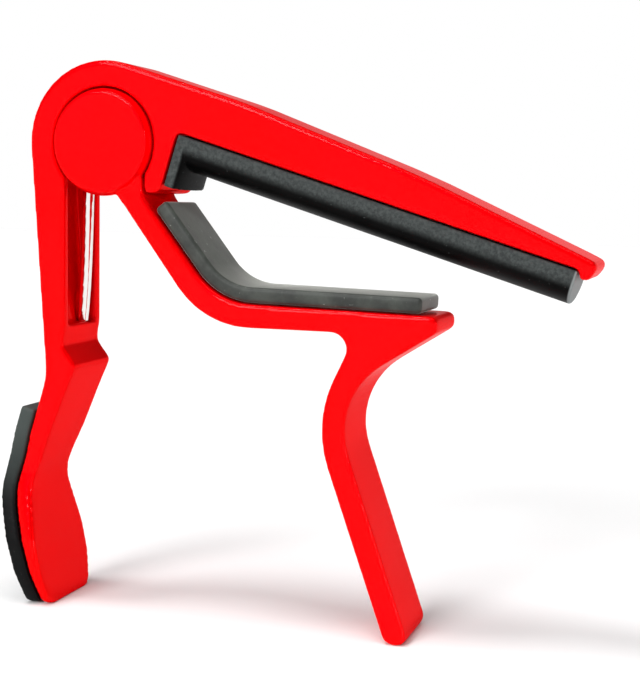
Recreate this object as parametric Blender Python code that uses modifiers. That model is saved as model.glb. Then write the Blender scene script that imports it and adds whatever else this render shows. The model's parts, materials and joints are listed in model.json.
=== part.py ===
"""Guitar capo with a sprung clamp: two painted castings hinged on one pin.

X runs from the thumb handle towards the tip of the string bar, Y along the
hinge pin and Z up. The capo stands on the tips of its two handles, and the
origin is on the floor below the middle of its box. Outlines are drawn in the
plane of the side view, as (x, z) from the hinge axis.
"""

from math import acos, asin, atan2, ceil, cos, hypot, pi, radians, sin, sqrt, tan

import bmesh
import bpy
from mathutils import Matrix, Vector

MM = 0.001

# Fits
FIT = 0.25 * MM  # gap between pieces that touch or run on each other
EDGE = 0.5 * MM  # rounding of the castings' edges
PAD_EDGE = 0.4 * MM  # rounding of the rubber edges

# Overall
PIVOT_HEIGHT = 72.3 * MM  # hinge axis above the tips of both handles
CASTING_WIDTH = 12.4 * MM  # both castings, along Y

# Hinge, from the axis outwards
PIN_RADIUS = 2.0 * MM
PIN_HEAD_RADIUS = 3.2 * MM
PIN_HEAD_HEIGHT = 0.8 * MM
SPOOL_WALL = 2.1 * MM
WIRE_DIAMETER = 2.0 * MM
COIL_RADIUS = 5.9 * MM  # to the middle of the wire
COIL_SPACE = 0.2 * MM  # between the turns
COIL_ROOM = 0.6 * MM  # round the coil, for it to swell
CHEEK_RADIUS = 8.05 * MM
CHEEK_FACE_RADIUS = 7.65 * MM  # the raised middle of each cheek
CHEEK_PROUD = 1.1 * MM  # it stands out of the castings' sides
CHEEK_SKIN = 1.0 * MM  # left over the blind end of the pin
CHEEK_GAP = 0.3 * MM  # round the cheeks, and between them and the ears' rims
HOOD_RADIUS = 12.2 * MM
EAR_THICKNESS = 1.0 * MM
FORK_GAP = 0.4 * MM  # between the ears' rims and the root of the fork
WASHER_THICKNESS = 0.5 * MM
WASHER_RADIUS = 7.2 * MM

# String bar: u runs along its underside from the corner at the lug, v up from it
BAR_CORNER = (12.1 * MM, 1.5 * MM)
BAR_PITCH = radians(17.1)
BAR_LENGTH = 62.4 * MM
BAR_ROOT_HEIGHT = 7.2 * MM
BAR_MIDDLE_HEIGHT = 5.3 * MM
BAR_END_HEIGHT = 1.9 * MM
NOSE_LENGTH = 2.3 * MM
NOSE_DROP = 1.2 * MM
LUG_LENGTH = 9.3 * MM
LUG_TOE = 2.5 * MM  # width of the lug's foot, left of its corner
LUG_TOE_FALL = 0.2 * MM

# Thumb handle: drops are below the hinge axis, reaches to its left
CHANNEL_REACH = 6.4 * MM  # open side of the channel
CHANNEL_WALL = 1.6 * MM
CHANNEL_FLOOR = 1.5 * MM
CHANNEL_DROP = 28.0 * MM
BLOCK_DROP = 34.2 * MM
BLOCK_REACH = 4.5 * MM
KNEE_DROP = 36.0 * MM
KNEE_REACH = 9.7 * MM
SHANK_SWELL = 0.6 * MM  # more than the paddle's thickness, at the knee
SHANK_LAG = 2.4 * MM  # the inner face bends this far below the knee
HEEL_DROP = 54.0 * MM
HEEL_REACH = 15.2 * MM
HEEL_LEAD = 0.8 * MM  # the inner face bends this far above the heel
PADDLE_THICKNESS = 2.6 * MM
PADDLE_TIP_THICKNESS = 1.6 * MM
PADDLE_TIP_REACH = 10.1 * MM
PADDLE_TIP_WIDTH = 13.4 * MM
PADDLE_WIDTH = 16.6 * MM
PADDLE_WIDEST_DROP = 64.5 * MM
PADDLE_WIDEST_LENGTH = 5.0 * MM
WAIST_WIDTH = 10.8 * MM
WAIST_DROP = 50.3 * MM
GRIP_THICKNESS = 2.4 * MM
GRIP_TOP_DROP = 41.6 * MM
GRIP_END_GAP = 0.5 * MM  # grip stops this far above the tip of the paddle

# Lower jaw: drops are below the hinge axis, reaches to its right
NECK_LOW = (2.6 * MM, 8.2 * MM)  # reach and drop where the neck leaves the cheeks
NECK_LOW_SLOPE = radians(53.4)
NECK_HIGH = (8.0 * MM, 9.8 * MM)
NECK_HIGH_SLOPE = radians(51.9)
SUPPORT_TOP_DROP = 23.4 * MM
SUPPORT_LOW_DROP = 27.0 * MM
SUPPORT_FALL = 0.7 * MM  # of its upper face, from the bend to the tip
NECK_STEP = 1.55 * MM  # the neck's upper face steps back under the lug
NECK_STEP_RISE = 2.4 * MM
JAW_TIP_REACH = 52.2 * MM
JAW_TIP_DEPTH = 2.2 * MM
FINGER_ARMPIT_REACH = 40.2 * MM
FINGER_BACK_REACH = 33.9 * MM  # corner of its outer face, before rounding
FINGER_BACK_DROP = 40.3 * MM
FINGER_CROOK_REACH = 36.4 * MM  # corner of its inner face, before rounding
FINGER_CROOK_DROP = 36.4 * MM
FINGER_THICKNESS = 3.7 * MM  # at its tip
FINGER_TIP_REACH = 45.6 * MM
NECK_PAD_THICKNESS = 2.3 * MM
NECK_PAD_WIDTH = 11.4 * MM
NECK_PAD_START = 0.3 * MM  # past the top of the neck, along it
NECK_PAD_END_REACH = 49.7 * MM

# String pad
STRING_PAD_WIDTH = 11.8 * MM
STRING_PAD_SIDE = 2.1 * MM
STRING_PAD_DEPTH = 5.1 * MM
PAD_HEEL_SIDE = 1.4 * MM
PAD_HEEL_DEPTH = 2.3 * MM
PAD_HEEL_LENGTH = 7.9 * MM

# Spring legs
JAW_LEG_ANGLE = radians(-59.0)
JAW_LEG_END = 12.4 * MM
SOCKET_DEPTH = 1.6 * MM
SOCKET_GROOVE = 5.0 * MM  # how far the socket runs on up the channel's floor
SOCKET_SKIN = 0.5 * MM  # between the socket and the open side of the channel
LEG_SIDE_GAP = 0.4 * MM  # between the long leg and the far wall of the channel
LEG_BOW = 0.35 * MM  # of the long leg, under its load

# Worked out from the values above
HALF = CASTING_WIDTH / 2
WIRE = WIRE_DIAMETER / 2
COIL_TURNS = (3 * pi - JAW_LEG_ANGLE) / (2 * pi)
COIL_PITCH = WIRE_DIAMETER + COIL_SPACE
COIL_HALF = COIL_TURNS * COIL_PITCH / 2
EAR_INSIDE = COIL_HALF + WIRE + FIT
EAR_OUTSIDE = EAR_INSIDE + EAR_THICKNESS
CHEEK_INSIDE = EAR_OUTSIDE + WASHER_THICKNESS + 2 * FIT
CHEEK_OUTSIDE = HALF + CHEEK_PROUD
POCKET_RADIUS = CHEEK_RADIUS + CHEEK_GAP
EAR_RADIUS = CHEEK_RADIUS - CHEEK_GAP
FORK_RADIUS = EAR_RADIUS + FORK_GAP
CAVITY_RADIUS = COIL_RADIUS + WIRE + COIL_ROOM
NOSE_REACH = BAR_CORNER[0] + (BAR_LENGTH + NOSE_LENGTH) * cos(BAR_PITCH)

SIDE_VIEW = Matrix(((1, 0, 0), (0, 0, -1), (0, 1, 0)))
END_VIEW = Matrix(((0, 0, 1), (1, 0, 0), (0, 1, 0)))
PAST = 2 * MM  # how far a cutter runs past what it cuts
ARC_STEP = radians(9)
COIL_STEPS = 20  # straight runs in a turn of the coil


# Outlines


def arc(radius, start, end, centre=(0, 0)):
    """Points on an arc, both ends included."""
    steps = max(1, ceil(abs(end - start) / ARC_STEP))
    angles = [start + (end - start) * i / steps for i in range(steps + 1)]
    return [(centre[0] + radius * cos(a), centre[1] + radius * sin(a)) for a in angles]


def rounded(corners, closed=True):
    """Points of an outline given as (x, z, radius) corners."""
    points = []
    count = len(corners)
    for i, (x, z, radius) in enumerate(corners):
        if radius == 0 or (not closed and i in (0, count - 1)):
            points.append((x, z))
            continue
        here = Vector((x, z))
        back = Vector(corners[i - 1][:2]) - here
        ahead = Vector(corners[(i + 1) % count][:2]) - here
        half_angle = back.angle(ahead) / 2
        reach = min(radius / tan(half_angle), 0.49 * back.length, 0.49 * ahead.length)
        radius = reach * tan(half_angle)
        start = here + back.normalized() * reach
        middle = (back.normalized() + ahead.normalized()).normalized() * (radius / sin(half_angle))
        centre = here + middle
        first = atan2(start.y - centre.y, start.x - centre.x)
        turn = pi - 2 * half_angle
        if back.x * ahead.y - back.y * ahead.x > 0:
            turn = -turn
        points += arc(radius, first, first + turn, centre)
    return points


def offset(path, distance):
    """The open path moved sideways, to its left where distance is positive."""
    moved = []
    for i, point in enumerate(path):
        before = Vector(path[max(i - 1, 0)])
        after = Vector(path[min(i + 1, len(path) - 1)])
        along = (after - before).normalized()
        moved.append((point[0] - along.y * distance, point[1] + along.x * distance))
    return moved


def bar_point(u, v):
    """(x, z) of a point given along and above the underside of the string bar."""
    x = BAR_CORNER[0] + u * cos(BAR_PITCH) + v * sin(BAR_PITCH)
    z = BAR_CORNER[1] - u * sin(BAR_PITCH) + v * cos(BAR_PITCH)
    return x, z


def bar_corner(u, v, radius):
    return (*bar_point(u, v), radius)


def handle_back():
    """Outer face of the thumb handle, from the hood down to the tip."""
    leave = pi + asin((HOOD_RADIUS - KNEE_REACH) / KNEE_DROP)
    top = arc(HOOD_RADIUS, leave, leave)[0]
    corners = [
        (*top, 0),
        (-KNEE_REACH, -KNEE_DROP, 9 * MM),
        (-HEEL_REACH, -HEEL_DROP, 11 * MM),
        (-PADDLE_TIP_REACH, -PIVOT_HEIGHT, 0),
    ]
    return rounded(corners, closed=False)


def paddle_face():
    """Inner face of the thumb handle, from the tip up to the channel."""
    slant = hypot(HEEL_REACH - KNEE_REACH, HEEL_DROP - KNEE_DROP) / (HEEL_DROP - KNEE_DROP)
    across = PADDLE_THICKNESS * slant
    corners = [
        (-PADDLE_TIP_REACH + PADDLE_TIP_THICKNESS, -PIVOT_HEIGHT, 0.5 * MM),
        (-HEEL_REACH + across, -HEEL_DROP + HEEL_LEAD, 8 * MM),
        (-KNEE_REACH + across + SHANK_SWELL, -KNEE_DROP - SHANK_LAG, 6 * MM),
        (-BLOCK_REACH, -BLOCK_DROP, 0.7 * MM),
        (-CHANNEL_REACH - 0.5 * MM, -(CHANNEL_DROP + BLOCK_DROP) / 2, 1.5 * MM),
        (-CHANNEL_REACH, -CHANNEL_DROP, 0),
    ]
    return rounded(corners, closed=False)


def hood_and_bar():
    """From the foot of the lug, round the string bar, to the top of the hood."""
    leave = pi / 2 - BAR_PITCH
    foot_x, foot_z = bar_point(0, -LUG_LENGTH)
    corners = [
        (foot_x - LUG_TOE, foot_z - LUG_TOE_FALL, 0.4 * MM),
        (foot_x, foot_z, 1.0 * MM),
        bar_corner(0, 0, 0.5 * MM),
        bar_corner(BAR_LENGTH, 0, 0.3 * MM),
        bar_corner(BAR_LENGTH, -NOSE_DROP, 0.5 * MM),
        bar_corner(BAR_LENGTH + 0.6 * NOSE_LENGTH, -NOSE_DROP, 1.2 * MM),
        bar_corner(BAR_LENGTH + NOSE_LENGTH, 0.8 * BAR_END_HEIGHT, 1.9 * MM),
        bar_corner(BAR_LENGTH, BAR_END_HEIGHT, 30 * MM),
        bar_corner(0.58 * BAR_LENGTH, BAR_MIDDLE_HEIGHT, 90 * MM),
        bar_corner(0.13 * BAR_LENGTH, BAR_ROOT_HEIGHT, 40 * MM),
        (*arc(HOOD_RADIUS, leave, leave)[0], 0),
    ]
    side_x = foot_x - LUG_TOE
    start = (side_x, -sqrt(POCKET_RADIUS**2 - side_x**2), 0)
    return rounded([start] + corners, closed=False)


def upper_outline():
    """The whole side view of the upper casting, anticlockwise."""
    hood_top = pi / 2 - BAR_PITCH
    hood_left = pi + asin((HOOD_RADIUS - KNEE_REACH) / KNEE_DROP)
    channel_top = -pi + asin(sqrt(EAR_RADIUS**2 - CHANNEL_REACH**2) / EAR_RADIUS)
    lug_x = bar_point(0, -LUG_LENGTH)[0] - LUG_TOE
    lug_side = -acos(min(1, lug_x / POCKET_RADIUS))
    outline = hood_and_bar()[:-1]
    outline += arc(HOOD_RADIUS, hood_top, hood_left)
    outline += handle_back()[1:]
    outline += paddle_face()
    return outline + arc(EAR_RADIUS, channel_top, lug_side)


def seat_corners():
    """Corners of the face that carries the neck pad, from the top of the neck to the tip."""
    run = (SUPPORT_TOP_DROP - NECK_HIGH[1]) / tan(NECK_HIGH_SLOPE)
    return [
        (NECK_HIGH[0], -NECK_HIGH[1], 1.5 * MM),
        (NECK_HIGH[0] + run, -SUPPORT_TOP_DROP, 11.3 * MM),
        (JAW_TIP_REACH, -SUPPORT_TOP_DROP - SUPPORT_FALL, 1.1 * MM),
    ]


def jaw_seat():
    """The same face as a path."""
    return rounded(seat_corners(), closed=False)


def jaw_outline():
    """Side view of the lower jaw without its cheeks, anticlockwise."""
    low_run = (SUPPORT_LOW_DROP - NECK_LOW[1]) / tan(NECK_LOW_SLOPE)
    high_x = NECK_HIGH[0] - NECK_STEP
    inside = -NECK_LOW[1] + 3 * MM
    tip_low = -SUPPORT_TOP_DROP - SUPPORT_FALL - JAW_TIP_DEPTH
    corners = [
        (NECK_LOW[0] - 1.5 * MM, inside, 0),
        (NECK_LOW[0], -NECK_LOW[1], 0),
        (NECK_LOW[0] + low_run, -SUPPORT_LOW_DROP, 14 * MM),
        (FINGER_ARMPIT_REACH, -SUPPORT_LOW_DROP, 2.4 * MM),
        (FINGER_BACK_REACH, -FINGER_BACK_DROP, 17 * MM),
        (FINGER_TIP_REACH, -PIVOT_HEIGHT, 1.6 * MM),
        (FINGER_TIP_REACH + FINGER_THICKNESS, -PIVOT_HEIGHT, 1.8 * MM),
        (FINGER_CROOK_REACH, -FINGER_CROOK_DROP, 12.5 * MM),
        (JAW_TIP_REACH, tip_low, 1.2 * MM),
    ]
    top = [(high_x, -NECK_HIGH[1] + NECK_STEP_RISE, 1.5 * MM), (high_x, inside, 0)]
    return rounded(corners + seat_corners()[::-1] + top)


def width_outline():
    """End view that gives the thumb handle its waist and its flared paddle."""
    half_side = [
        (HALF, HOOD_RADIUS + PAST, 0),
        (HALF, -WAIST_DROP + 5 * MM, 5 * MM),
        (WAIST_WIDTH / 2, -WAIST_DROP, 6 * MM),
        (PADDLE_WIDTH / 2, -PADDLE_WIDEST_DROP + PADDLE_WIDEST_LENGTH / 2, 8 * MM),
        (PADDLE_WIDTH / 2, -PADDLE_WIDEST_DROP - PADDLE_WIDEST_LENGTH / 2, 5 * MM),
        (PADDLE_TIP_WIDTH / 2, -PIVOT_HEIGHT, 1.8 * MM),
    ]
    other_side = [(-y, z, radius) for y, z, radius in reversed(half_side)]
    return rounded(half_side + other_side)


def band(path, thickness, lift=FIT):
    """Outline of a strip that lies along the left of an open path."""
    return offset(path, lift) + offset(path, lift + thickness)[::-1]


def grip_outline():
    """The grip's strip, from its top to a little above the tip of the paddle."""
    points = [Vector(point) for point in handle_back()]
    first = next(i for i, point in enumerate(points) if point.y < -GRIP_TOP_DROP)
    above, below = points[first - 1], points[first]
    top = above.lerp(below, (above.y + GRIP_TOP_DROP) / (above.y - below.y))
    end = points[-1] + (points[-2] - points[-1]).normalized() * GRIP_END_GAP
    back = [tuple(point) for point in [top] + points[first:-1] + [end]]
    return band(back, -GRIP_THICKNESS, -FIT)


def hinge_place():
    """The hinge axis, with the middle of the whole box at x = 0 and the floor at z = 0."""
    left = min(x for x, _ in grip_outline())
    right = max(x for x, _ in hood_and_bar())
    return Vector((-(left + right) / 2, 0, PIVOT_HEIGHT))


PIVOT = hinge_place()


# Shapes


def collection(name, hidden=False):
    group = bpy.data.collections.new(name)
    bpy.context.scene.collection.children.link(group)
    group.hide_render = hidden
    return group


def place(name, mesh, group):
    """A new object whose origin is on the hinge axis."""
    piece = bpy.data.objects.new(name, mesh)
    piece.location = PIVOT
    group.objects.link(piece)
    if group.hide_render:
        piece.hide_render = True
        piece.display_type = "WIRE"
    return piece


def mesh_of(data, turn):
    """The closed mesh of a curve, turned into its view."""
    helper = bpy.data.objects.new("helper", data)
    bpy.context.scene.collection.objects.link(helper)
    graph = bpy.context.evaluated_depsgraph_get()
    mesh = bpy.data.meshes.new_from_object(helper.evaluated_get(graph))
    bpy.data.objects.remove(helper)
    work = bmesh.new()
    work.from_mesh(mesh)
    bmesh.ops.remove_doubles(work, verts=work.verts, dist=1e-6)
    bmesh.ops.recalc_face_normals(work, faces=work.faces)
    work.to_mesh(mesh)
    work.free()
    mesh.transform(turn.to_4x4())
    return mesh


def plate(name, outline, half_depth, group, edge=0.0, turn=SIDE_VIEW, shift=(0, 0, 0)):
    """A flat outline given thickness, with rounded edges if edge is set."""
    data = bpy.data.curves.new(name, "CURVE")
    data.dimensions = "2D"
    data.fill_mode = "BOTH"
    data.extrude = half_depth - edge
    data.bevel_depth = edge
    data.bevel_resolution = 1
    data.offset = -edge
    spline = data.splines.new("POLY")
    spline.points.add(len(outline) - 1)
    for point, (x, y) in zip(spline.points, outline):
        point.co = (x, y, 0, 1)
    spline.use_cyclic_u = True
    mesh = mesh_of(data, turn)
    mesh.transform(Matrix.Translation(shift))
    return place(name, mesh, group)


def cylinder(name, radius, low, high, group, sides=56):
    """A cylinder along Y on the hinge axis, from low to high."""
    work = bmesh.new()
    turn = Matrix.Rotation(pi / 2, 4, "X")
    shift = Matrix.Translation((0, (low + high) / 2, 0))
    bmesh.ops.create_cone(
        work,
        cap_ends=True,
        segments=sides,
        radius1=radius,
        radius2=radius,
        depth=high - low,
        matrix=shift @ turn,
    )
    mesh = bpy.data.meshes.new(name)
    work.to_mesh(mesh)
    work.free()
    return place(name, mesh, group)


def turned(name, profile, group, steps=48):
    """A ring or a pin turned about the hinge axis from an (r, y) profile."""
    mesh = bpy.data.meshes.new(name)
    points = [(r, y, 0) for r, y in profile]
    on_axis = profile[0][0] == 0
    edges = [(i, i + 1) for i in range(len(points) - 1)]
    if not on_axis:
        edges.append((len(points) - 1, 0))
    mesh.from_pydata(points, edges, [])
    piece = place(name, mesh, group)
    screw = piece.modifiers.new("turn", "SCREW")
    screw.axis = "Y"
    screw.steps = steps
    screw.render_steps = steps
    screw.use_merge_vertices = True
    screw.merge_threshold = 1e-6
    return piece


def wire(name, points, radius, group):
    """A round wire through the given points."""
    data = bpy.data.curves.new(name, "CURVE")
    data.dimensions = "3D"
    data.bevel_depth = radius
    data.bevel_resolution = 2
    data.use_fill_caps = True
    spline = data.splines.new("POLY")
    spline.points.add(len(points) - 1)
    for point, position in zip(spline.points, points):
        point.co = (*position, 1)
    return place(name, mesh_of(data, Matrix.Identity(3)), group)


def combine(target, other, operation="DIFFERENCE"):
    step = target.modifiers.new(operation.lower(), "BOOLEAN")
    step.operation = operation
    step.solver = "EXACT"
    step.object = other
    return step


# Pieces


def upper_arm(parts, cutters):
    arm = plate("upper_arm", upper_outline(), PADDLE_WIDTH / 2 + PAST, parts)
    width = plate("width_form", width_outline(), 2 * NOSE_REACH, cutters, turn=END_VIEW)
    combine(arm, width, "INTERSECT")
    for side, name in ((-1, "front_pocket"), (1, "rear_pocket")):
        low, high = sorted((side * EAR_OUTSIDE, side * (HALF + PAST)))
        combine(arm, cylinder(name, POCKET_RADIUS, low, high, cutters))
    combine(arm, cylinder("coil_cavity", CAVITY_RADIUS, -EAR_INSIDE, EAR_INSIDE, cutters))
    combine(arm, plate("cavity_mouth", mouth_outline(), EAR_INSIDE, cutters))
    combine(arm, plate("channel", channel_outline(), HALF - CHANNEL_WALL, cutters))
    bore = cylinder("ear_bore", PIN_RADIUS + FIT, -HALF, HALF, cutters, sides=32)
    combine(arm, bore)
    combine(arm, socket(cutters))
    return arm


def mouth_outline():
    """Opening below the coil, through which its legs leave the hood."""
    left = -KNEE_REACH - (HOOD_RADIUS - KNEE_REACH) * 0.8 + CHANNEL_FLOOR
    right = EAR_RADIUS * cos(radians(46))
    low = -EAR_RADIUS - PAST
    return [(left, low), (right, low), (right, -0.5 * EAR_RADIUS), (0, 0), (left, 0)]


def channel_outline():
    """Channel of the thumb handle, open towards the jaw."""
    top = -sqrt(POCKET_RADIUS**2 - CHANNEL_REACH**2) - FIT
    lean = (HOOD_RADIUS - KNEE_REACH) / KNEE_DROP
    floor = [-HOOD_RADIUS - lean * z + CHANNEL_FLOOR for z in (top, -CHANNEL_DROP)]
    return [
        (floor[0], top),
        (floor[1], -CHANNEL_DROP),
        (0, -CHANNEL_DROP),
        (0, top),
    ]


def long_leg():
    """Points of the spring leg that lies in the channel, from the coil down."""
    seat_x, seat_y = socket_place()
    clear = (EAR_RADIUS + PAST / 2) / CHANNEL_DROP
    points = []
    for share in (0.1, 0.25, clear, 0.5, 0.65, 0.8, 0.92, 1.0):
        x = -COIL_RADIUS + (seat_x + COIL_RADIUS) * (0.3 * share + 0.7 * share**3)
        bow = LEG_BOW * sin(pi * share)
        aside = max(0, (share - clear) / (1 - clear))
        y = COIL_HALF + (seat_y - COIL_HALF) * aside
        points.append((x - bow, y, -CHANNEL_DROP * share))
    points.append((seat_x, seat_y, -CHANNEL_DROP - SOCKET_DEPTH + FIT))
    return points


def socket_place():
    """(x, y) of the socket that holds the end of the long leg."""
    depth = WIRE + FIT + SOCKET_SKIN
    return -CHANNEL_REACH - depth, HALF - CHANNEL_WALL - LEG_SIDE_GAP - WIRE


def socket(cutters):
    x, y = socket_place()
    start = (x, y, -CHANNEL_DROP + SOCKET_GROOVE)
    end = (x, y, -CHANNEL_DROP - SOCKET_DEPTH)
    return wire("leg_socket", [start, end], WIRE + FIT, cutters)


def torsion_spring(parts):
    steps = ceil(COIL_TURNS * COIL_STEPS)
    coil = []
    for i in range(steps + 1):
        angle = pi - 2 * pi * COIL_TURNS * i / steps
        y = COIL_HALF - 2 * COIL_HALF * i / steps
        coil.append((COIL_RADIUS * cos(angle), y, COIL_RADIUS * sin(angle)))
    points = long_leg()[::-1] + coil[:-2] + bend_outwards(coil)
    return wire("torsion_spring", points, WIRE, parts)


def bend_outwards(coil):
    """The short leg, turned from the coil to run out along the neck of the jaw."""
    along = Vector((cos(JAW_LEG_ANGLE), 0, sin(JAW_LEG_ANGLE)))
    first = Vector(coil[-2])
    corner = along * COIL_RADIUS
    corner.y = -COIL_HALF
    points = []
    for share in (0.5, 0.75):
        points.append(first.lerp(corner, share) + along * 0.5 * share**2 * WIRE)
    points.append(corner + along * 0.9 * WIRE)
    points.append(corner + along * 2 * WIRE)
    points.append(along * JAW_LEG_END + Vector((0, -COIL_HALF, 0)))
    return [tuple(point) for point in points]


def lower_jaw(parts, cutters):
    jaw = plate("lower_jaw", jaw_outline(), HALF, parts)
    for name, radius, reach in (
        ("cheek_plate", CHEEK_RADIUS, HALF),
        ("cheek_face", CHEEK_FACE_RADIUS, CHEEK_OUTSIDE),
    ):
        combine(jaw, cylinder(name, radius, -reach, reach, cutters), "UNION")
    combine(jaw, cylinder("fork", FORK_RADIUS, -CHEEK_INSIDE, CHEEK_INSIDE, cutters))
    blind = -CHEEK_OUTSIDE + CHEEK_SKIN
    combine(jaw, cylinder("pin_bore", PIN_RADIUS + FIT, blind, HALF + PAST, cutters, sides=32))
    recess = CHEEK_OUTSIDE - PIN_HEAD_HEIGHT
    head = cylinder("head_recess", PIN_HEAD_RADIUS + FIT, recess, recess + PAST, cutters, 40)
    combine(jaw, head)
    along = Vector((cos(JAW_LEG_ANGLE), 0, sin(JAW_LEG_ANGLE)))
    side = Vector((0, -COIL_HALF, 0))
    ends = [along * (FORK_RADIUS - PAST) + side, along * (JAW_LEG_END + FIT) + side]
    combine(jaw, wire("leg_bore", ends, WIRE + FIT, cutters))
    return jaw


def pivot_pin(parts):
    """Steel pin: blind in the front cheek, with a domed head in the rear one."""
    front = -CHEEK_OUTSIDE + CHEEK_SKIN + FIT
    shoulder = CHEEK_OUTSIDE - PIN_HEAD_HEIGHT + FIT
    dome = PIN_HEAD_HEIGHT
    radius = (PIN_HEAD_RADIUS**2 + dome**2) / (2 * dome)
    reach = asin(PIN_HEAD_RADIUS / radius)
    centre = shoulder + dome - radius
    angles = [reach * i / 4 for i in range(5)]
    top = [(radius * sin(a), centre + radius * cos(a)) for a in angles]
    shaft = [
        (PIN_RADIUS, shoulder),
        (PIN_RADIUS, front + EDGE),
        (PIN_RADIUS - EDGE, front),
        (0, front),
    ]
    return turned("pivot_pin", top + shaft, parts, steps=32)


def sleeve(name, inner, outer, low, high, parts):
    """A plain ring on the pin, from low to high along it."""
    profile = [(outer, high), (outer, low), (inner, low), (inner, high)]
    return turned(name, profile, parts)


def neck_pad(parts):
    path = jaw_seat()
    start = Vector(path[0])
    along = (Vector(path[1]) - start).normalized()
    path[0] = tuple(start + along * NECK_PAD_START)
    slope = SUPPORT_FALL / (JAW_TIP_REACH - path[-2][0])
    end_x = NECK_PAD_END_REACH
    path[-1] = (end_x, path[-2][1] - slope * (end_x - path[-2][0]))
    outline = band(path, NECK_PAD_THICKNESS)
    return plate("neck_pad", outline, NECK_PAD_WIDTH / 2, parts, edge=PAD_EDGE)


def thumb_grip(parts, cutters):
    grip = plate("thumb_grip", grip_outline(), PADDLE_WIDTH / 2 + PAST, parts)
    width = plate("grip_form", width_outline(), 2 * NOSE_REACH, cutters, turn=END_VIEW)
    combine(grip, width, "INTERSECT")
    return grip


def half_round(side, depth, width):
    """Section of a pad: flat on its seat, straight sides and a rounded face."""
    face = arc(1, 0, -pi)
    crown = [(x * width / 2, -side + z * (depth - side)) for x, z in face]
    return [(width / 2, 0)] + crown + [(-width / 2, 0)]


def string_pad(parts, cutters):
    """Pad under the bar, with a heel that comes down the lug."""
    length = BAR_LENGTH - 2 * FIT
    section = half_round(STRING_PAD_SIDE, STRING_PAD_DEPTH, STRING_PAD_WIDTH)
    tilt = Matrix.Rotation(BAR_PITCH, 3, "Y")
    pad = plate("string_pad", section, length / 2, parts, turn=tilt @ END_VIEW)
    x, z = bar_point(FIT + length / 2, -FIT)
    pad.data.transform(Matrix.Translation((x, 0, z)))
    heel_section = half_round(PAD_HEEL_SIDE, PAD_HEEL_DEPTH, STRING_PAD_WIDTH)
    drop = Matrix.Rotation(BAR_PITCH - pi / 2, 3, "Y")
    heel = plate("pad_heel", heel_section, PAD_HEEL_LENGTH / 2, cutters, turn=drop @ END_VIEW)
    x, z = bar_point(FIT, -FIT - PAD_HEEL_LENGTH / 2)
    heel.data.transform(Matrix.Translation((x, 0, z)))
    combine(pad, heel, "UNION")
    return pad


# Finish


FINISHES = {
    "upper_arm": ((0.78, 0.0, 0.01), 0.25, 0.0),
    "lower_jaw": ((0.78, 0.0, 0.01), 0.25, 0.0),
    "pivot_pin": ((0.55, 0.55, 0.56), 0.3, 1.0),
    "torsion_spring": ((0.72, 0.71, 0.69), 0.15, 1.0),
    "spring_spool": ((0.75, 0.74, 0.7), 0.5, 0.0),
    "front_washer": ((0.75, 0.74, 0.7), 0.5, 0.0),
    "rear_washer": ((0.75, 0.74, 0.7), 0.5, 0.0),
    "string_pad": ((0.02, 0.02, 0.02), 0.6, 0.0),
    "neck_pad": ((0.045, 0.045, 0.04), 0.6, 0.0),
    "thumb_grip": ((0.02, 0.022, 0.022), 0.6, 0.0),
}


def finish(piece):
    """Own material, and smooth shading between faces that meet at a small angle."""
    colour, roughness, metallic = FINISHES[piece.name]
    material = bpy.data.materials.new(piece.name)
    material.use_nodes = True
    shader = material.node_tree.nodes["Principled BSDF"]
    shader.inputs["Base Color"].default_value = (*colour, 1)
    shader.inputs["Roughness"].default_value = roughness
    shader.inputs["Metallic"].default_value = metallic
    piece.data.materials.clear()
    piece.data.materials.append(material)
    piece.data.shade_smooth()
    piece.data.set_sharp_from_angle(angle=radians(30))


def main():
    for old in list(bpy.data.objects):
        bpy.data.objects.remove(old, do_unlink=True)
    parts = collection("guitar_capo")
    cutters = collection("cutters", hidden=True)
    spool_inner = PIN_RADIUS + FIT
    washer = (EAR_OUTSIDE + FIT, EAR_OUTSIDE + FIT + WASHER_THICKNESS)
    pieces = [
        upper_arm(parts, cutters),
        lower_jaw(parts, cutters),
        pivot_pin(parts),
        torsion_spring(parts),
        sleeve("spring_spool", spool_inner, spool_inner + SPOOL_WALL,
               -EAR_INSIDE + FIT, EAR_INSIDE - FIT, parts),
        sleeve("front_washer", spool_inner, WASHER_RADIUS, -washer[1], -washer[0], parts),
        sleeve("rear_washer", spool_inner, WASHER_RADIUS, washer[0], washer[1], parts),
        string_pad(parts, cutters),
        neck_pad(parts),
        thumb_grip(parts, cutters),
    ]
    for piece in pieces:
        finish(piece)


main()
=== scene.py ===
"""A guitar capo: two enamelled castings on one pin, rubber pads and a bright torsion spring.

Places are worked out from the hinge axis. In the side view a place is (x, z) in
millimetres from that axis, x towards the tip of the string bar and z up.
"""

import json
from math import atan2, cos, hypot, pi, radians, sin, tan

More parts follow.
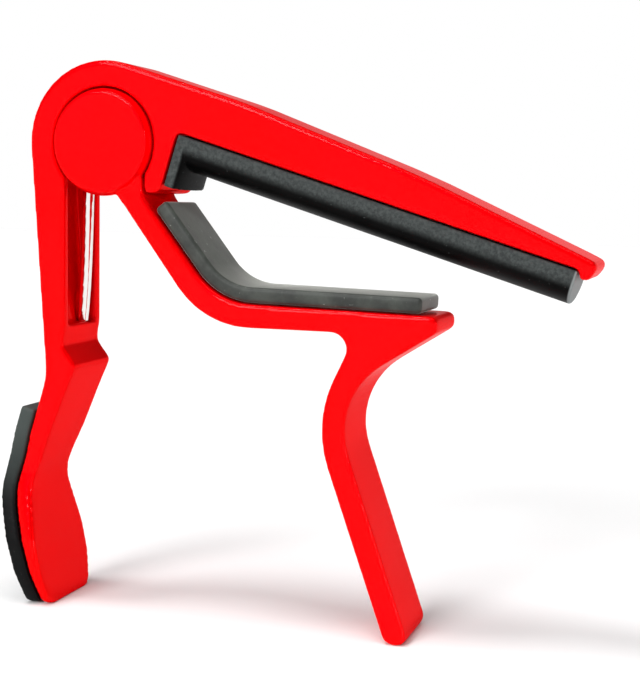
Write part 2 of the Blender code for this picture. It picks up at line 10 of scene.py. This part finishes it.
import bpy
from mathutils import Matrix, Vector


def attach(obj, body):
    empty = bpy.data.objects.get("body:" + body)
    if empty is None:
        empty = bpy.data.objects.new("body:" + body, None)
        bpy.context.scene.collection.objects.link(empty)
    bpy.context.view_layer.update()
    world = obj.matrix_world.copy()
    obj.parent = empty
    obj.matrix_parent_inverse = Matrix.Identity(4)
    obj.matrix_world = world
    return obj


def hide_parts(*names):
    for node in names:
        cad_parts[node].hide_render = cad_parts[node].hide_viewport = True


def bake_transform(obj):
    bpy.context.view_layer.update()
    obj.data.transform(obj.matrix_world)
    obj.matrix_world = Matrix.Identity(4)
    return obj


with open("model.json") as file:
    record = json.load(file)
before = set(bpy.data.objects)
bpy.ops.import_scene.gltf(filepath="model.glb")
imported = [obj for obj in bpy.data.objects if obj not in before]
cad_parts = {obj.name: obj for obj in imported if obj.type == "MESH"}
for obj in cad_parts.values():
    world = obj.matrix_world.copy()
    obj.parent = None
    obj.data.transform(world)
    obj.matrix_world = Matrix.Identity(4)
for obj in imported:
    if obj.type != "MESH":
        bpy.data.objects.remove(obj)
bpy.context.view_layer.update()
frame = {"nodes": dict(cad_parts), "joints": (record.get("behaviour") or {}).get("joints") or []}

# Lengths below are in millimetres.
MM = 0.001
PIVOT = Vector(frame["joints"][0]["pos_m"])
UPPER = "upper_arm_body"
LOWER = "lower_jaw_body"
FIT = 0.25  # between pieces that touch
WELD = 0.002  # points nearer than this are one point
SQUARE_ON = 0.9  # least cosine between a face's normal and the way it looks

# The castings
HALF_WIDTH = 6.2  # along Y
RIM_DEPTH = 1.4  # how far in from an outer face its rounding starts
PADDLE_DROP = 40.0  # the thumb paddle is below this
HINGE_ROOM = 9.6  # radius round the hinge that keeps its crisp edges
SOFT_ROUNDS = 6
RIM_ROUNDS = 14
GRIP_ROUNDS = 14
CAST_GRAIN = 0.29  # between the points of a casting's surface

# The string bar
BAR_CORNER = (12.1, 1.5)
BAR_PITCH = radians(17.1)
BAR_LENGTH = 62.4

# The string pad
PAD_WIDTH = 11.8
PAD_SIDE = 2.1  # straight part of its sides
PAD_DEPTH = 5.1
HEEL_SIDE = 1.4
HEEL_DEPTH = 2.3
HEEL_LENGTH = 7.9
RUBBER_GRAIN = 0.2
RUBBER_ROUNDS = 5

# Where the painted grey sheen on the string pad's sides fades to black, and where a painted sheen
# turns its cut end grey
SIDE_FULL = 0.6  # above the lower edge of the straight sides
SIDE_GONE = 1.0  # below that edge
HEEL_FULL = 0.1  # past the straight sides of the heel
HEEL_GONE = 0.5
END_STARTS = 0.7  # before the bar's end
END_FULL = 0.45

# The neck pad: it starts on the neck, bends and ends near the jaw's tip
NECK_TOP = (8.0, -9.8)
NECK_SLOPE = radians(51.9)
NECK_TOP_GAP = 0.3
SEAT_DROP = 23.4
SEAT_FALL = 0.7
JAW_TIP = 52.2
SEAT_BEND = 11.3
NECK_PAD_END = 49.7
NECK_PAD_THICKNESS = 2.3
NECK_PAD_WIDTH = 11.4
STRIP_EDGE = 0.65  # rounding of its edges
BEND_STEPS = 24

# The thumb grip is greyer above this, down from the hinge axis
GREYER_STARTS = 58
GREYER_FULL = 44

# The torsion spring
WIRE_GRAIN = 0.15
WIRE_ROUNDS = 10

# The camera: x, z and y from the hinge axis, and its turns in degrees
CAMERA_PLACE = (93.87, -8.21, -191.2)
CAMERA_TURN = (83.843, -1.129, 17.778)
CAMERA_LENS = 70.03
CAMERA_NEAR = 10

# Each light's name, the way to it, its strength and its spread in degrees
LIGHTS = (
    ("ceiling_light", (0.1, -0.25, 1.0), 1.4, 50),
    ("front_light", (-0.35, -1.0, 0.55), 2.2, 24),
    ("side_light", (0.95, -0.3, 0.15), 0.6, 10),
    ("edge_light", (-0.3, -0.15, 0.95), 1.3, 14),
)


# Helpers


def at(x, z, y=0.0):
    """The place that is x, z mm from the hinge axis in the side view and y mm along it."""
    return PIVOT + Vector((x, y, z)) * MM


def deselect():
    if bpy.context.mode != "OBJECT":
        bpy.ops.object.mode_set(mode="OBJECT")
    bpy.ops.object.select_all(action="DESELECT")


def take(piece):
    """Makes the piece the only one selected, and active."""
    deselect()
    piece.select_set(True)
    bpy.context.view_layer.objects.active = piece


def named(name):
    """The piece just added, with its name."""
    piece = bpy.context.active_object
    piece.name = name
    piece.data.name = name
    return piece


def pick_faces(piece, way):
    """In edit mode, selects only the faces that look a given way."""
    bpy.ops.object.mode_set(mode="OBJECT")
    mesh = piece.data
    for group in (mesh.vertices, mesh.edges, mesh.polygons):
        group.foreach_set("select", [False] * len(group))
    for face in mesh.polygons:
        face.select = face.normal.dot(way) > SQUARE_ON
    bpy.ops.object.mode_set(mode="EDIT")
    bpy.ops.mesh.select_mode(type="FACE")


def modify(piece, kind, **settings):
    """Adds a modifier, sets it and applies it."""
    take(piece)
    step = piece.modifiers.new(kind.lower(), kind)
    for key, value in settings.items():
        setattr(step, key, value)
    bpy.ops.object.modifier_apply(modifier=step.name)


def settle(piece):
    """Puts the piece's place, turn and size into its mesh, with its faces pointing out."""
    take(piece)
    bpy.ops.object.transform_apply(location=True, rotation=True, scale=True)
    bpy.ops.object.mode_set(mode="EDIT")
    bpy.ops.mesh.select_all(action="SELECT")
    bpy.ops.mesh.remove_doubles(threshold=WELD * MM)
    bpy.ops.mesh.normals_make_consistent(inside=False)
    bpy.ops.object.mode_set(mode="OBJECT")


def dress(piece, material, slot, body=None, *nodes):
    """Gives a piece its material, its body and the nodes it stands for; the slot is not used."""
    piece.data.materials.clear()
    piece.data.materials.append(material)
    if body:
        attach(piece, body)
    if nodes:
        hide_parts(*nodes)


# Materials


def linear(colour):
    """The linear RGBA of an sRGB hex colour."""
    values = [int(colour[i:i + 2], 16) / 255 for i in (1, 3, 5)]
    return tuple(v / 12.92 if v <= 0.04045 else ((v + 0.055) / 1.055) ** 2.4 for v in values) + (1,)


def add(owner, kind, inputs=(), **settings):
    """Adds a node to a material or a world.

    Settings go to its properties or sockets. Each of the inputs is a socket and the output
    or the value that it gets.
    """
    node = owner.node_tree.nodes.new("ShaderNode" + kind)
    for key, value in settings.items():
        if hasattr(node, key):
            setattr(node, key, value)
        else:
            node.inputs[key.replace("_", " ")].default_value = value
    for socket, source in inputs:
        if isinstance(source, bpy.types.NodeSocket):
            connect(owner, source, node.inputs[socket])
        else:
            node.inputs[socket].default_value = source
    return node


def connect(owner, output, socket):
    owner.node_tree.links.new(output, socket)


def surface(name, **settings):
    """A new material: it, its shader and its object coordinates."""
    material = bpy.data.materials.new(name)
    material.use_nodes = True
    shader = material.node_tree.nodes["Principled BSDF"]
    for key, value in settings.items():
        shader.inputs[key.replace("_", " ")].default_value = value
    place = add(material, "TexCoord").outputs["Object"]
    return material, shader, place


def per_mm(size):
    """The noise scale that gives spots of this size in millimetres."""
    return 1 / (size * MM)


def enamel():
    """Candy enamel: red-dyed gloss lacquer over bright metal, so what it mirrors comes back red."""
    material, shader, place = surface(
        "candy_red_enamel", Metallic=0.5, Roughness=0.22, Specular_IOR_Level=0.0,
        Specular_Tint=linear("#FF0000"), Coat_Weight=0.1, Coat_Roughness=0.06, Coat_IOR=1.5,
    )
    # The lacquer pools a little, so its colour drifts over a few centimetres.
    drift = add(material, "TexNoise", [("Vector", place)], Scale=per_mm(24), Detail=2.0)
    tone = add(material, "ValToRGB", [("Fac", drift.outputs["Fac"])])
    thin, pooled = tone.color_ramp.elements
    thin.position = 0.3
    thin.color = linear("#E80000")
    pooled.position = 0.7
    pooled.color = linear("#F60008")
    connect(material, tone.outputs["Color"], shader.inputs["Base Color"])
    # Orange peel: shallow waves about 1.6 mm apart.
    peel = add(material, "TexNoise", [("Vector", place)], Scale=per_mm(1.6), Detail=1.0)
    bump = add(
        material, "Bump", [("Height", peel.outputs["Fac"])], Strength=0.06, Distance=0.05 * MM
    )
    connect(material, bump.outputs["Normal"], shader.inputs["Normal"])
    connect(material, bump.outputs["Normal"], shader.inputs["Coat Normal"])
    return material


def rubber(name, dark, light, dust, shine, bloom=0.0):
    """Moulded rubber: finely grained and mottled, with pale dust on it and sometimes a bloom.

    Returns the material, its shader, the object coordinates and the colour so far.
    """
    material, shader, place = surface(
        name, Roughness=0.5, IOR=1.5, Specular_IOR_Level=shine,
        Sheen_Weight=bloom, Sheen_Roughness=0.35, Sheen_Tint=linear("#C8C8C2"),
    )
    mottle = add(
        material, "TexNoise", [("Vector", place)], Scale=per_mm(3.2), Detail=5.0, Roughness=0.6
    )
    patches = add(
        material, "MapRange", [("Value", mottle.outputs["Fac"])],
        interpolation_type="SMOOTHSTEP", From_Min=0.3, From_Max=0.72,
    )
    tone = add(
        material, "Mix", [(0, patches.outputs["Result"]), (6, linear(dark)), (7, linear(light))],
        data_type="RGBA",
    )
    # Specks of dust, about 0.2 mm across and drawn a little larger than life.
    speck = add(
        material, "TexNoise", [("Vector", place)], Scale=per_mm(0.7), Detail=3.0, Roughness=0.7
    )
    few = add(
        material, "MapRange", [("Value", speck.outputs["Fac"])],
        interpolation_type="SMOOTHSTEP", From_Min=0.66, From_Max=0.74,
    )
    dusty = add(
        material, "Mix", [(0, few.outputs["Result"]), (6, tone.outputs[2]), (7, linear(dust))],
        data_type="RGBA",
    )
    connect(material, dusty.outputs[2], shader.inputs["Base Color"])
    # Mould grain about 0.35 mm coarse.
    grain = add(material, "TexNoise", [("Vector", place)], Scale=per_mm(0.35), Detail=3.0)
    bump = add(
        material, "Bump", [("Height", grain.outputs["Fac"])], Strength=0.3, Distance=0.04 * MM
    )
    connect(material, bump.outputs["Normal"], shader.inputs["Normal"])
    return material, shader, place, dusty.outputs[2]


def silicone_with_painted_sheen():
    """The string pad's black silicone, black under the strings, with a painted grey sheen on its
    flat sides and its cut end.
    """
    material, shader, place, black = rubber(
        "black_silicone", dark="#020202", light="#060606", dust="#3A3C3C", shine=0.05
    )
    # Level with the bar, from the corner at the lug: X along its underside, Z up.
    moved = add(
        material, "VectorMath", [(0, place), (1, at(*BAR_CORNER))], operation="SUBTRACT"
    )
    turned = add(
        material, "VectorRotate", [("Vector", moved.outputs["Vector"])],
        rotation_type="Y_AXIS", Angle=-BAR_PITCH,
    )
    split = add(material, "SeparateXYZ", [("Vector", turned.outputs["Vector"])])
    # Painted sheen: the straight sides of the run are grey, fading to black below them.
    sheen_on_run = add(
        material, "MapRange", [("Value", split.outputs["Z"])], interpolation_type="SMOOTHSTEP",
        From_Min=-(PAD_SIDE + SIDE_GONE) * MM, From_Max=-(PAD_SIDE - SIDE_FULL) * MM,
    )
    # The heel's sides get the same painted sheen.
    sheen_on_heel = add(
        material, "MapRange", [("Value", split.outputs["X"])], interpolation_type="SMOOTHSTEP",
        From_Min=(HEEL_SIDE + HEEL_GONE) * MM, From_Max=(HEEL_SIDE + HEEL_FULL) * MM,
    )
    painted_sheen = add(
        material, "Math", [(0, sheen_on_run.outputs["Result"]), (1, sheen_on_heel.outputs["Result"])],
        operation="MAXIMUM",
    )
    # Painted sheen: the pad's cut end at the bar's tip, lit from the right, is painted grey.
    painted_end_sheen = add(
        material, "MapRange", [("Value", split.outputs["X"])], interpolation_type="SMOOTHSTEP",
        From_Min=(BAR_LENGTH - END_STARTS) * MM, From_Max=(BAR_LENGTH - END_FULL) * MM,
    )
    # The painted sheen on the sides is broken into painted glints about 0.5 mm coarse.
    glint_noise = add(
        material, "TexNoise", [("Vector", place)], Scale=per_mm(0.5), Detail=4.0, Roughness=0.7
    )
    painted_glints = add(
        material, "MapRange", [("Value", glint_noise.outputs["Fac"])],
        interpolation_type="SMOOTHSTEP", From_Min=0.3, From_Max=0.75,
    )
    sheen_grey = add(
        material, "Mix",
        [(0, painted_glints.outputs["Result"]), (6, linear("#303333")), (7, linear("#474B4A"))],
        data_type="RGBA",
    )
    # The painted sheen is laid over the black rubber.
    with_painted_sheen = add(
        material, "Mix", [(0, painted_sheen.outputs["Value"]), (6, black), (7, sheen_grey.outputs[2])],
        data_type="RGBA",
    )
    coloured = add(
        material, "Mix",
        [(0, painted_end_sheen.outputs["Result"]), (6, with_painted_sheen.outputs[2]), (7, linear("#7C8080"))],
        data_type="RGBA",
    )
    connect(material, coloured.outputs[2], shader.inputs["Base Color"])
    return material


def grip_rubber():
    """The thumb grip's rubber: greyer towards its top."""
    material, shader, place, black = rubber(
        "black_grip_rubber", dark="#040405", light="#0A0B0B", dust="#3A3C3C", shine=0.08
    )
    split = add(material, "SeparateXYZ", [("Vector", place)])
    greyer_up = add(
        material, "MapRange", [("Value", split.outputs["Z"])], interpolation_type="SMOOTHSTEP",
        From_Min=PIVOT.z - GREYER_STARTS * MM, From_Max=PIVOT.z - GREYER_FULL * MM,
    )
    coloured = add(
        material, "Mix", [(0, greyer_up.outputs["Result"]), (6, black), (7, linear("#3E4442"))],
        data_type="RGBA",
    )
    connect(material, coloured.outputs[2], shader.inputs["Base Color"])
    return material


def spring_wire():
    """Bright drawn spring steel: mirror-like, with faint die lines along the wire."""
    material, shader, place = surface("bright_drawn_spring_steel", Metallic=1.0, Roughness=0.12)
    shader.inputs["Base Color"].default_value = linear("#E9E7E3")
    run = add(material, "Mapping", [("Vector", place)], Scale=(1.0, 1.0, 0.02))
    lines = add(
        material, "TexNoise", [("Vector", run.outputs["Vector"])], Scale=per_mm(0.25), Detail=2.0
    )
    bump = add(
        material, "Bump", [("Height", lines.outputs["Fac"])], Strength=0.3, Distance=0.02 * MM
    )
    connect(material, bump.outputs["Normal"], shader.inputs["Normal"])
    return material


def pin_steel():
    """Turned mild steel: satin, with fine rings from the lathe round the hinge axis."""
    material, shader, place = surface("turned_pin_steel", Metallic=1.0)
    shader.inputs["Base Color"].default_value = linear("#C2C2C4")
    centred = add(material, "Mapping", [("Vector", place)], Location=tuple(-PIVOT))
    rings = add(
        material, "TexWave", [("Vector", centred.outputs["Vector"])],
        wave_type="RINGS", rings_direction="Y", Scale=per_mm(0.5) / 6, Distortion=0.6,
    )
    bright = add(
        material, "MapRange", [("Value", rings.outputs["Fac"])], To_Min=0.22, To_Max=0.38
    )
    connect(material, bright.outputs["Result"], shader.inputs["Roughness"])
    bump = add(
        material, "Bump", [("Height", rings.outputs["Fac"])], Strength=0.2, Distance=0.01 * MM
    )
    connect(material, bump.outputs["Normal"], shader.inputs["Normal"])
    return material


def nylon():
    """Natural nylon: milky, a little waxy, with a faint mould texture."""
    material, shader, place = surface(
        "natural_nylon", Roughness=0.42, IOR=1.53, Subsurface_Weight=0.15, Subsurface_Scale=0.5 * MM
    )
    cloud = add(material, "TexNoise", [("Vector", place)], Scale=per_mm(1.5), Detail=2.0)
    tone = add(material, "ValToRGB", [("Fac", cloud.outputs["Fac"])])
    cloudy, clear = tone.color_ramp.elements
    cloudy.color = linear("#D9D6CC")
    clear.color = linear("#E6E4DC")
    connect(material, tone.outputs["Color"], shader.inputs["Base Color"])
    bump = add(
        material, "Bump", [("Height", cloud.outputs["Fac"])], Strength=0.1, Distance=0.02 * MM
    )
    connect(material, bump.outputs["Normal"], shader.inputs["Normal"])
    return material


# Pieces that keep a node's form


def softened(name, node, soften, rim=0, grain=CAST_GRAIN):
    """A piece of a node's form, with soft edges from this many rounds of smoothing.

    The edges of its two outer faces may be rounded more, in further rounds.
    """
    deselect()
    piece = bpy.data.objects.new(name, frame["nodes"][node].data.copy())
    bpy.context.scene.collection.objects.link(piece)
    settle(piece)
    modify(piece, "REMESH", mode="VOXEL", voxel_size=grain * MM)
    modify(piece, "SMOOTH", factor=0.5, iterations=soften)
    if rim:
        rims = piece.vertex_groups.new(name="rims")
        rims.add([point.index for point in piece.data.vertices if on_rim(point.co)], 1.0, "ADD")
        modify(piece, "SMOOTH", factor=0.5, iterations=rim, vertex_group="rims")
    take(piece)
    bpy.ops.object.shade_smooth()
    return piece


def on_rim(place):
    """Whether a place is on the paddle, or near an outer face and away from the hinge."""
    offset = (place - PIVOT) / MM
    if offset.z < -PADDLE_DROP and offset.x < 0:
        return True
    return abs(offset.y) > HALF_WIDTH - RIM_DEPTH and hypot(offset.x, offset.z) > HINGE_ROOM


def spring():
    """The wire, softened and left on no body, though one leg bears on the thumb handle and the
    other on the jaw.
    """
    piece = softened("torsion_spring_wire", "torsion_spring", WIRE_ROUNDS, grain=WIRE_GRAIN)
    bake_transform(piece)
    return piece


# Rubber pieces


def extrude(x=0.0, z=0.0):
    """Extrudes the selected faces by a step in millimetres."""
    bpy.ops.mesh.extrude_region_move(TRANSFORM_OT_translate={"value": (x * MM, 0, z * MM)})


def d_bar(name, side, depth, length):
    """A pad's run, level along X, its seat at z = 0: straight sides over a round face."""
    deselect()
    bpy.ops.mesh.primitive_cylinder_add(
        vertices=96, radius=PAD_WIDTH / 2 * MM, depth=length * MM, rotation=(0, pi / 2, 0)
    )
    piece = named(name)
    bpy.ops.object.transform_apply(location=True, rotation=True, scale=True)
    bpy.ops.object.mode_set(mode="EDIT")
    bpy.ops.mesh.select_all(action="SELECT")
    bpy.ops.mesh.bisect(plane_co=(0, 0, 0), plane_no=(0, 0, 1), clear_outer=True, use_fill=True)
    bpy.ops.mesh.select_all(action="SELECT")
    flatten = (depth - side) / (PAD_WIDTH / 2)
    bpy.ops.transform.resize(value=(1, 1, flatten), center_override=(0, 0, 0))
    pick_faces(piece, Vector((0, 0, 1)))
    extrude(z=side)
    bpy.ops.mesh.select_all(action="SELECT")
    bpy.ops.transform.translate(value=(0, 0, -side * MM))
    return piece


def lay(piece, pitch, x, z):
    """Turns a level piece down by an angle about Y and sets it at a place in the side view."""
    take(piece)
    piece.rotation_euler = (0, pitch, 0)
    piece.location = at(x, z)
    settle(piece)


def string_pad():
    """The L-shaped pad: a long run under the bar and a short heel down the lug."""
    run = d_bar("string_pad_rubber", PAD_SIDE, PAD_DEPTH, BAR_LENGTH - 2 * FIT)
    reach = BAR_LENGTH / 2
    x = BAR_CORNER[0] + reach * cos(BAR_PITCH) - FIT * sin(BAR_PITCH)
    z = BAR_CORNER[1] - reach * sin(BAR_PITCH) - FIT * cos(BAR_PITCH)
    lay(run, BAR_PITCH, x, z)
    heel = d_bar("string_pad_heel", HEEL_SIDE, HEEL_DEPTH, HEEL_LENGTH)
    drop = FIT + HEEL_LENGTH / 2
    x = BAR_CORNER[0] + FIT * cos(BAR_PITCH) - drop * sin(BAR_PITCH)
    z = BAR_CORNER[1] - FIT * sin(BAR_PITCH) - drop * cos(BAR_PITCH)
    lay(heel, BAR_PITCH - pi / 2, x, z)
    modify(run, "BOOLEAN", operation="UNION", solver="EXACT", object=heel)
    bpy.data.objects.remove(heel)
    modify(run, "REMESH", mode="VOXEL", voxel_size=RUBBER_GRAIN * MM)
    modify(run, "SMOOTH", factor=0.5, iterations=RUBBER_ROUNDS)
    take(run)
    bpy.ops.object.shade_smooth()
    return run


def neck_pad():
    """The strip on the neck support: straight down the neck, round the bend and out to the tip."""
    corner = (NECK_TOP[0] + (SEAT_DROP + NECK_TOP[1]) / tan(NECK_SLOPE), -SEAT_DROP)
    level = atan2(SEAT_FALL, JAW_TIP - corner[0])
    turn = NECK_SLOPE - level
    tangent = SEAT_BEND * tan(turn / 2)
    neck_run = hypot(corner[0] - NECK_TOP[0], corner[1] - NECK_TOP[1])
    start = (
        NECK_TOP[0] + NECK_TOP_GAP * cos(NECK_SLOPE),
        NECK_TOP[1] - NECK_TOP_GAP * sin(NECK_SLOPE),
    )
    down = neck_run - NECK_TOP_GAP - tangent
    out = (NECK_PAD_END - corner[0]) / cos(level) - tangent
    lift = FIT + NECK_PAD_THICKNESS / 2
    along = Vector((cos(NECK_SLOPE), 0, -sin(NECK_SLOPE)))
    up = Vector((sin(NECK_SLOPE), 0, cos(NECK_SLOPE)))
    middle = at(*start) + (along * down / 2 + up * lift) * MM
    deselect()
    bpy.ops.mesh.primitive_cube_add(size=1, location=middle, rotation=(0, NECK_SLOPE, 0))
    piece = named("neck_pad_rubber")
    piece.scale = (down * MM, NECK_PAD_WIDTH * MM, NECK_PAD_THICKNESS * MM)
    bpy.ops.object.transform_apply(location=True, rotation=True, scale=True)
    pick_faces(piece, along)
    centre = at(*start) + (along * down + up * SEAT_BEND) * MM
    bpy.ops.mesh.spin(steps=BEND_STEPS, angle=turn, center=centre, axis=(0, 1, 0))
    extrude(x=out * cos(level), z=-out * sin(level))
    settle(piece)
    modify(
        piece, "BEVEL", width=STRIP_EDGE * MM, segments=5,
        limit_method="ANGLE", angle_limit=radians(40),
    )
    take(piece)
    bpy.ops.object.shade_smooth_by_angle(angle=radians(35))
    return piece


def capo():
    """All the pieces, and new materials for the nodes that keep their shape."""
    red = enamel()
    strip = rubber(
        "grey_black_strip_rubber", dark="#232623", light="#3C403B", dust="#A0A29C",
        shine=0.3, bloom=1.0,
    )[0]
    plastic = nylon()
    steel = spring_wire()
    string_bar = softened("string_bar_casting", "upper_arm", SOFT_ROUNDS, RIM_ROUNDS)
    dress(string_bar, red, "red_enamel", UPPER, "upper_arm")
    jaw = softened("neck_jaw_casting", "lower_jaw", SOFT_ROUNDS, RIM_ROUNDS)
    dress(jaw, red, "red_enamel", LOWER, "lower_jaw")
    grip = softened("thumb_grip_rubber", "thumb_grip", GRIP_ROUNDS)
    dress(grip, grip_rubber(), "black_silicone", UPPER, "thumb_grip")
    dress(string_pad(), silicone_with_painted_sheen(), "black_silicone", UPPER, "string_pad")
    dress(neck_pad(), strip, "grey_rubber", LOWER, "neck_pad")
    dress(spring(), steel, "bright_spring_steel", None, "torsion_spring")
    for node, material in (
        ("pivot_pin", pin_steel()),
        ("spring_spool", plastic),
        ("front_washer", plastic),
        ("rear_washer", plastic),
    ):
        slots = frame["nodes"][node].data.materials
        slots.clear()
        slots.append(material)


# Studio


def floor():
    """A pale matt floor with a faint cloud in its tone."""
    deselect()
    bpy.ops.mesh.primitive_plane_add(size=4.0, location=(0, 0, 0))
    piece = named("studio_floor")
    material, shader, place = surface("pale_floor", Roughness=0.9)
    cloud = add(material, "TexNoise", [("Vector", place)], Scale=per_mm(180), Detail=2.0)
    tone = add(material, "ValToRGB", [("Fac", cloud.outputs["Fac"])])
    dim, light = tone.color_ramp.elements
    dim.color = linear("#E6E6E6")
    light.color = linear("#EAEAEA")
    connect(material, tone.outputs["Color"], shader.inputs["Base Color"])
    piece.data.materials.append(material)


def air():
    """White light from all round, bright up to a little above the horizon and dimmer over it."""
    world = bpy.data.worlds.new("studio_air")
    bpy.context.scene.world = world
    world.use_nodes = True
    background = world.node_tree.nodes["Background"]
    background.inputs["Color"].default_value = linear("#FFFFFF")
    way = add(world, "TexCoord").outputs["Generated"]
    height = add(world, "SeparateXYZ", [("Vector", way)]).outputs["Z"]
    fade = add(
        world, "MapRange", [("Value", height)],
        From_Min=0.15, From_Max=0.21, To_Min=1.0, To_Max=0.22,
    )
    connect(world, fade.outputs["Result"], background.inputs["Strength"])


def distant_light(name, towards, strength, spread):
    """A wide, even light from a direction, as from a large diffuser far away."""
    bpy.ops.object.light_add(type="SUN", location=Vector(towards))
    lamp = bpy.context.active_object
    lamp.name = name
    lamp.data.energy = strength
    lamp.data.angle = radians(spread)
    lamp.rotation_euler = (-Vector(towards)).to_track_quat("-Z", "Y").to_euler()


def camera():
    deselect()
    turns = tuple(radians(angle) for angle in CAMERA_TURN)
    bpy.ops.object.camera_add(location=at(*CAMERA_PLACE), rotation=turns)
    piece = bpy.context.active_object
    piece.data.lens = CAMERA_LENS
    piece.data.clip_start = CAMERA_NEAR * MM
    bpy.context.scene.camera = piece


def studio():
    """The floor, the air, the lights and the camera."""
    floor()
    air()
    for light in LIGHTS:
        distant_light(*light)
    bpy.context.scene.view_settings.view_transform = "Standard"
    camera()


capo()
studio()
